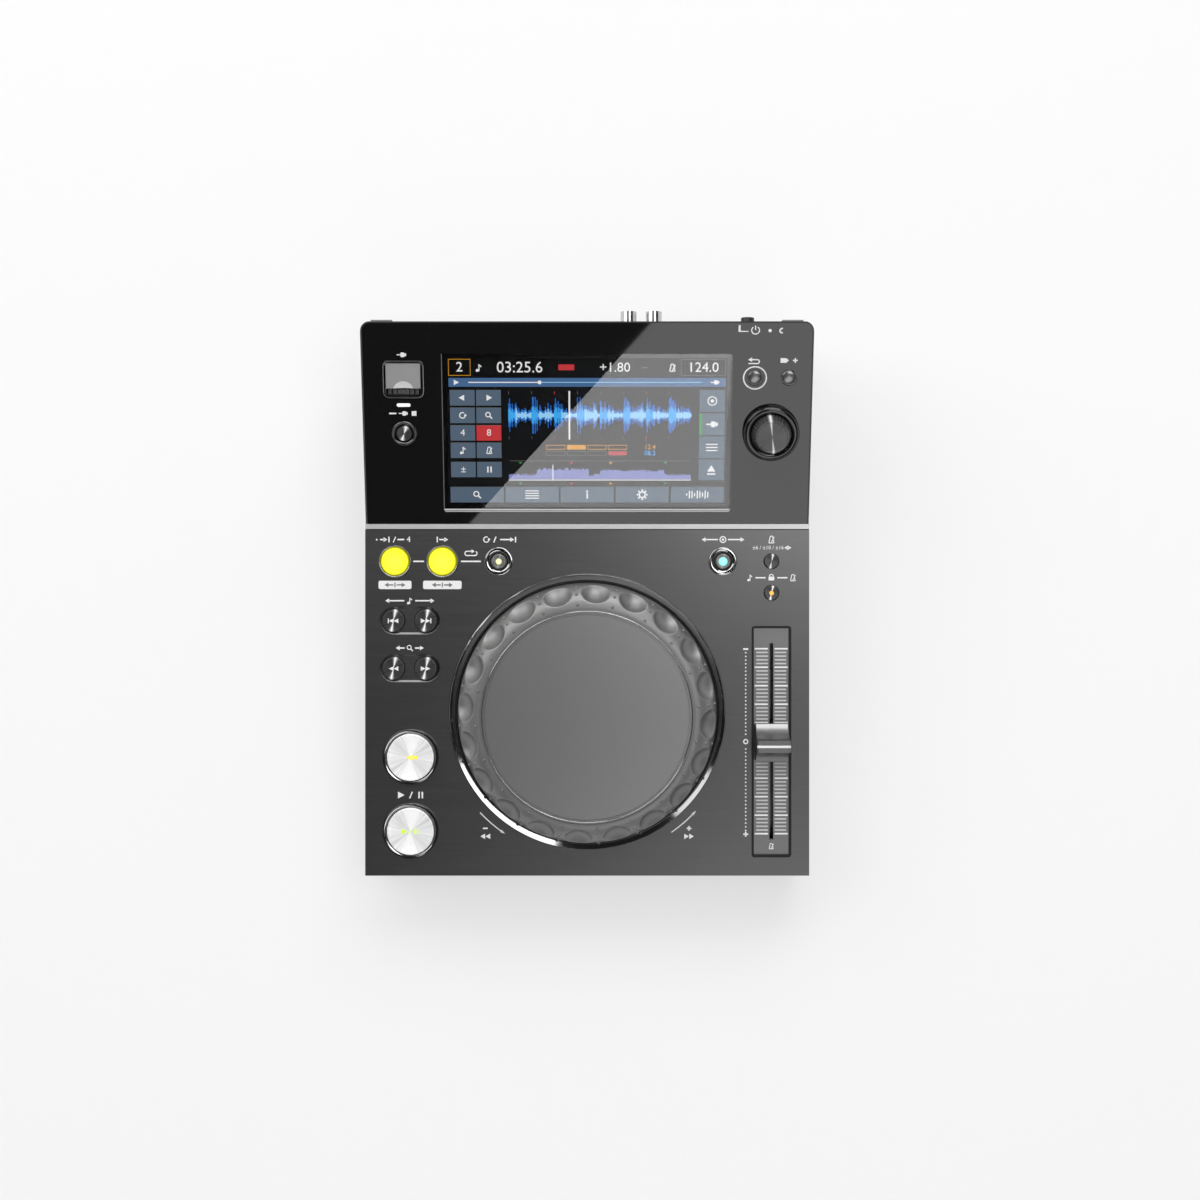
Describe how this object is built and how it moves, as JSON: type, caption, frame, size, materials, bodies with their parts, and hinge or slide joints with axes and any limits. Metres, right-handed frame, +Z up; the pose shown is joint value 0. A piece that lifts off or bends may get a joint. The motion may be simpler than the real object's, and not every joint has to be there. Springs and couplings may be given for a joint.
{
  "type": "tabletop dj media player",
  "caption": "Tabletop DJ player with a large dimpled jog wheel, tilted touch display, tempo slider, transport and loop buttons, rotary selector and a lidded USB port.",
  "frame": {"origin": "on the table, under the middle of the whole player with its phono sockets", "axes": "+X to the player's right, +Y towards the sockets at the rear, +Z up; the deck and the display panel slope up towards +Y"},
  "size_m": [0.228, 0.29, 0.0989],
  "materials": {
    "case_plastic": "fine moulded texture, satin black",
    "deck_metal": "dark anodised, brushed across",
    "fascia_gloss": "polished black",
    "chrome_trim": "bright plated",
    "screen_glass": "dark polished",
    "screen": "lit display",
    "circuit_board": "solder resist",
    "switch_plastic": "moulded",
    "steel": "plated",
    "rear_steel": "black powder coat",
    "brass": "machined",
    "foot_rubber": "matt",
    "bumper_rubber": "matt grey",
    "light_pipe": "frosted",
    "slider_black": "satin",
    "jog_rim": "satin metallic grey",
    "jog_disc": "fine spun, grey",
    "knob_metal": "spun face",
    "jack_plastic": "moulded",
    "phono_metal": "plated",
    "flap_plastic": "satin grey",
    "button_black": "spun black",
    "loop_lit": "lit yellow rim",
    "transport_metal": "spun cap"
  },
  "bodies": {
    "chassis": {"bottom_case": "case_plastic", "feet": "foot_rubber", "case_screws": "steel", "upper_case": "case_plastic", "deck_panel": "deck_metal", "trim_strip": "chrome_trim", "display_fascia": "fascia_gloss", "touch_glass": "screen_glass", "lcd_module": "screen", "display_board": "circuit_board", "control_boards": "circuit_board", "tact_switches": "switch_plastic", "button_bezels": "chrome_trim", "status_lenses": "light_pipe", "fader_plate": "slider_black", "fader_body": "steel", "jog_ring": "fascia_gloss", "jog_base": "case_plastic", "jog_bush": "brass", "jog_board": "circuit_board", "film_switch": "switch_plastic", "selector_collar": "fascia_gloss", "selector_encoder": "slider_black", "usb_frame": "fascia_gloss", "usb_socket": "steel", "rear_panel": "rear_steel", "rear_bumpers": "bumper_rubber", "phono_jacks": "phono_metal", "network_jack": "jack_plastic", "usb_b_jack": "jack_plastic", "ac_inlet": "jack_plastic", "jack_board": "circuit_board", "main_board": "circuit_board", "power_board": "circuit_board"},
    "jog_press": {"jog_spindle": "steel"},
    "jog_dial": {"jog_wheel": "jog_rim", "jog_plate": "jog_disc", "encoder_disc": "steel"},
    "tempo_slider": {"fader_lever": "steel", "fader_knob": "slider_black"},
    "selector_turn": {"selector_rotor": "slider_black"},
    "selector_push": {"selector_shaft": "steel", "selector_knob": "knob_metal"},
    "usb_lid": {"usb_flap": "flap_plastic"},
    "loop_in": {"loop_in_button": "loop_lit"},
    "loop_out": {"loop_out_button": "loop_lit"},
    "reloop": {"reloop_button": "button_black"},
    "vinyl": {"vinyl_button": "button_black"},
    "tempo_range": {"tempo_range_button": "button_black"},
    "master_tempo": {"master_tempo_button": "button_black"},
    "track_back": {"track_back_button": "button_black"},
    "track_forward": {"track_forward_button": "button_black"},
    "search_back": {"search_back_button": "button_black"},
    "search_forward": {"search_forward_button": "button_black"},
    "cue": {"cue_button": "transport_metal"},
    "play": {"play_button": "transport_metal"},
    "usb_stop": {"usb_stop_button": "button_black"},
    "back": {"back_button": "button_black"},
    "tag": {"tag_button": "button_black"},
    "power": {"power_button": "button_black"}
  },
  "joints": [
    {"name": "jog_press", "type": "slide", "parent": "chassis", "child": "jog_press", "axis": [0, -0.0958, 0.9954], "range_m": [-0.0005, 0], "stiffness_N_per_m": 6000, "springref_m": 0.0005},
    {"name": "jog_spin", "type": "hinge", "parent": "jog_press", "child": "jog_dial", "pos_m": [0, -0.06096, 0.05309], "axis": [0, -0.0958, 0.9954], "continuous": true},
    {"name": "tempo_slide", "type": "slide", "parent": "chassis", "child": "tempo_slider", "axis": [0, 0.9954, 0.0958], "range_m": [-0.048, 0.048]},
    {"name": "selector_spin", "type": "hinge", "parent": "chassis", "child": "selector_turn", "pos_m": [0.0931, 0.08057, 0.07948], "axis": [0, -0.342, 0.9397], "continuous": true},
    {"name": "selector_press", "type": "slide", "parent": "selector_turn", "child": "selector_push", "axis": [0, -0.342, 0.9397], "range_m": [-0.0008, 0], "stiffness_N_per_m": 1500, "springref_m": 0.001},
    {"name": "usb_lid_hinge", "type": "hinge", "parent": "chassis", "child": "usb_lid", "pos_m": [-0.0927, 0.11395, 0.09067], "axis": [-1, 0, 0], "range_deg": [0, 95]},
    {"name": "loop_in_press", "type": "slide", "parent": "chassis", "child": "loop_in", "axis": [0, -0.0958, 0.9954], "range_m": [-0.001, 0], "stiffness_N_per_m": 600, "springref_m": 0.0015},
    {"name": "loop_out_press", "type": "slide", "parent": "chassis", "child": "loop_out", "axis": [0, -0.0958, 0.9954], "range_m": [-0.001, 0], "stiffness_N_per_m": 600, "springref_m": 0.0015},
    {"name": "reloop_press", "type": "slide", "parent": "chassis", "child": "reloop", "axis": [0, -0.0958, 0.9954], "range_m": [-0.001, 0], "stiffness_N_per_m": 600, "springref_m": 0.0015},
    {"name": "vinyl_press", "type": "slide", "parent": "chassis", "child": "vinyl", "axis": [0, -0.0958, 0.9954], "range_m": [-0.001, 0], "stiffness_N_per_m": 600, "springref_m": 0.0015},
    {"name": "tempo_range_press", "type": "slide", "parent": "chassis", "child": "tempo_range", "axis": [0, -0.0958, 0.9954], "range_m": [-0.001, 0], "stiffness_N_per_m": 600, "springref_m": 0.0015},
    {"name": "master_tempo_press", "type": "slide", "parent": "chassis", "child": "master_tempo", "axis": [0, -0.0958, 0.9954], "range_m": [-0.001, 0], "stiffness_N_per_m": 600, "springref_m": 0.0015},
    {"name": "track_back_press", "type": "slide", "parent": "chassis", "child": "track_back", "axis": [0, -0.0958, 0.9954], "range_m": [-0.001, 0], "stiffness_N_per_m": 600, "springref_m": 0.0015},
    {"name": "track_forward_press", "type": "slide", "parent": "chassis", "child": "track_forward", "axis": [0, -0.0958, 0.9954], "range_m": [-0.001, 0], "stiffness_N_per_m": 600, "springref_m": 0.0015},
    {"name": "search_back_press", "type": "slide", "parent": "chassis", "child": "search_back", "axis": [0, -0.0958, 0.9954], "range_m": [-0.001, 0], "stiffness_N_per_m": 600, "springref_m": 0.0015},
    {"name": "search_forward_press", "type": "slide", "parent": "chassis", "child": "search_forward", "axis": [0, -0.0958, 0.9954], "range_m": [-0.001, 0], "stiffness_N_per_m": 600, "springref_m": 0.0015},
    {"name": "cue_press", "type": "slide", "parent": "chassis", "child": "cue", "axis": [0, -0.0958, 0.9954], "range_m": [-0.0015, 0], "stiffness_N_per_m": 600, "springref_m": 0.0015},
    {"name": "play_press", "type": "slide", "parent": "chassis", "child": "play", "axis": [0, -0.0958, 0.9954], "range_m": [-0.0015, 0], "stiffness_N_per_m": 600, "springref_m": 0.0015},
    {"name": "usb_stop_press", "type": "slide", "parent": "chassis", "child": "usb_stop", "axis": [0, -0.342, 0.9397], "range_m": [-0.001, 0], "stiffness_N_per_m": 600, "springref_m": 0.0015},
    {"name": "back_press", "type": "slide", "parent": "chassis", "child": "back", "axis": [0, -0.342, 0.9397], "range_m": [-0.001, 0], "stiffness_N_per_m": 600, "springref_m": 0.0015},
    {"name": "tag_press", "type": "slide", "parent": "chassis", "child": "tag", "axis": [0, -0.342, 0.9397], "range_m": [-0.001, 0], "stiffness_N_per_m": 600, "springref_m": 0.0015},
    {"name": "power_press", "type": "slide", "parent": "chassis", "child": "power", "axis": [0, 1, 0], "range_m": [-0.001, 0], "stiffness_N_per_m": 600, "springref_m": 0.0015}
  ]
}
